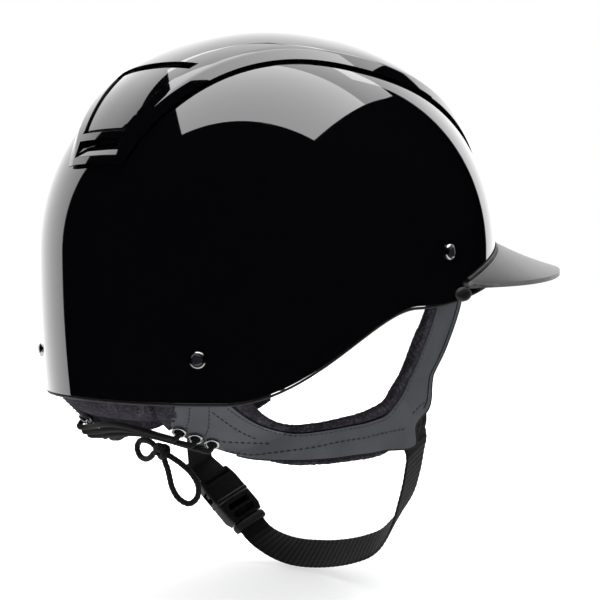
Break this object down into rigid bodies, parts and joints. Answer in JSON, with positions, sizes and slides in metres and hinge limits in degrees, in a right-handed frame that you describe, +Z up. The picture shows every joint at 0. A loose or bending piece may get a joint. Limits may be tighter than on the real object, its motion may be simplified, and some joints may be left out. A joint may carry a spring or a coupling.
{
  "type": "equestrian riding helmet",
  "caption": "Riding helmet with a gloss shell, raised centre panel with rear vent, front peak, foam liner, leather harness laced at the nape and a chin strap with side release buckle.",
  "frame": {"origin": "centre of the head opening, level with the headband at the widest part of the shell", "axes": "+Z up towards the crown, -Y towards the peak, -X towards the wearer's right"},
  "size_m": [0.2182, 0.3352, 0.3128],
  "materials": {
    "shell_gloss": "high gloss black lacquer",
    "panel_gloss": "high gloss black lacquer",
    "foam_black": "moulded expanded bead foam, black",
    "vent_black": "matte black moulding",
    "peak_satin": "fine satin black",
    "peak_fabric": "black cloth facing",
    "trim_rubber": "soft black edging",
    "fleece_dark": "short pile fleece, near black",
    "lace_cord": "braided black elastic cord",
    "webbing_black": "ribbed black webbing",
    "harness_leather": "slate grey synthetic leather",
    "steel_bright": "bright nickel plate",
    "cap_gloss": "black lacquered dome",
    "buckle_black": "black acetal moulding"
  },
  "bodies": {
    "helmet": {"outer_shell": "shell_gloss", "impact_liner": "foam_black", "center_panel": "panel_gloss", "rear_vent_insert": "panel_gloss", "rear_vent_mesh": "vent_black", "front_vent_grille": "vent_black", "peak": "peak_satin", "peak_underside": "peak_fabric", "peak_seal": "trim_rubber", "rim_trim": "trim_rubber", "peak_mount_right": "trim_rubber", "peak_mount_left": "trim_rubber", "headband_pad_rear": "fleece_dark", "headband_pad_right": "fleece_dark", "headband_pad_front": "fleece_dark", "headband_pad_left": "fleece_dark", "crown_pad": "fleece_dark", "nape_pad": "fleece_dark", "harness_right": "harness_leather", "harness_lining_right": "fleece_dark", "eyelet_right_1": "steel_bright", "eyelet_right_2": "steel_bright", "eyelet_right_3": "steel_bright", "harness_left": "harness_leather", "harness_lining_left": "fleece_dark", "eyelet_left_1": "steel_bright", "eyelet_left_2": "steel_bright", "eyelet_left_3": "steel_bright", "rivet_rear_right": "steel_bright", "rivet_cap_rear_right": "cap_gloss", "rivet_washer_rear_right": "steel_bright", "rivet_rear_left": "steel_bright", "rivet_cap_rear_left": "cap_gloss", "rivet_washer_rear_left": "steel_bright", "rivet_front_right": "steel_bright", "rivet_cap_front_right": "cap_gloss", "rivet_washer_front_right": "steel_bright", "rivet_front_left": "steel_bright", "rivet_cap_front_left": "cap_gloss", "rivet_washer_front_left": "steel_bright", "lace_strand_1": "lace_cord", "lace_strand_2": "lace_cord", "lace_strand_3": "lace_cord", "lace_knot": "lace_cord", "lace_loop_large": "lace_cord", "lace_loop_small": "lace_cord"},
    "chin_strap": {"chin_webbing": "webbing_black", "chin_tab": "webbing_black", "buckle_female": "buckle_black"},
    "buckle_male_half": {"buckle_male": "buckle_black"},
    "prong_front": {"buckle_prong_front": "buckle_black"},
    "prong_rear": {"buckle_prong_rear": "buckle_black"},
    "keeper": {"keeper_ring": "buckle_black"}
  },
  "joints": [
    {"name": "chin_strap_swing", "type": "hinge", "parent": "helmet", "child": "chin_strap", "pos_m": [0, -0.018, -0.104], "axis": [-1, 0, 0], "range_deg": [-25, 40]},
    {"name": "buckle_release", "type": "slide", "parent": "chin_strap", "child": "buckle_male_half", "axis": [-0.6462, -0.261, -0.7172], "range_m": [0, 0.006], "stiffness_N_per_m": 200, "springref_m": -0.001},
    {"name": "prong_front_squeeze", "type": "hinge", "parent": "buckle_male_half", "child": "prong_front", "pos_m": [0.07801, -0.04498, -0.15094], "axis": [0.7632, -0.221, -0.6072], "range_deg": [-18, 0]},
    {"name": "prong_rear_squeeze", "type": "hinge", "parent": "buckle_male_half", "child": "prong_rear", "pos_m": [0.07801, -0.0275, -0.1573], "axis": [0.7632, -0.221, -0.6072], "range_deg": [0, 18]},
    {"name": "keeper_slide", "type": "slide", "parent": "chin_strap", "child": "keeper", "axis": [-0.6462, -0.261, -0.7172], "range_m": [0, 0.006]}
  ],
  "couplings": [
    {"joint": "prong_front_squeeze", "follows": "buckle_release", "rad_per_m": -52.3},
    {"joint": "prong_rear_squeeze", "follows": "buckle_release", "rad_per_m": 52.3},
    {"joint": "keeper_slide", "follows": "buckle_release", "ratio": 1}
  ]
}
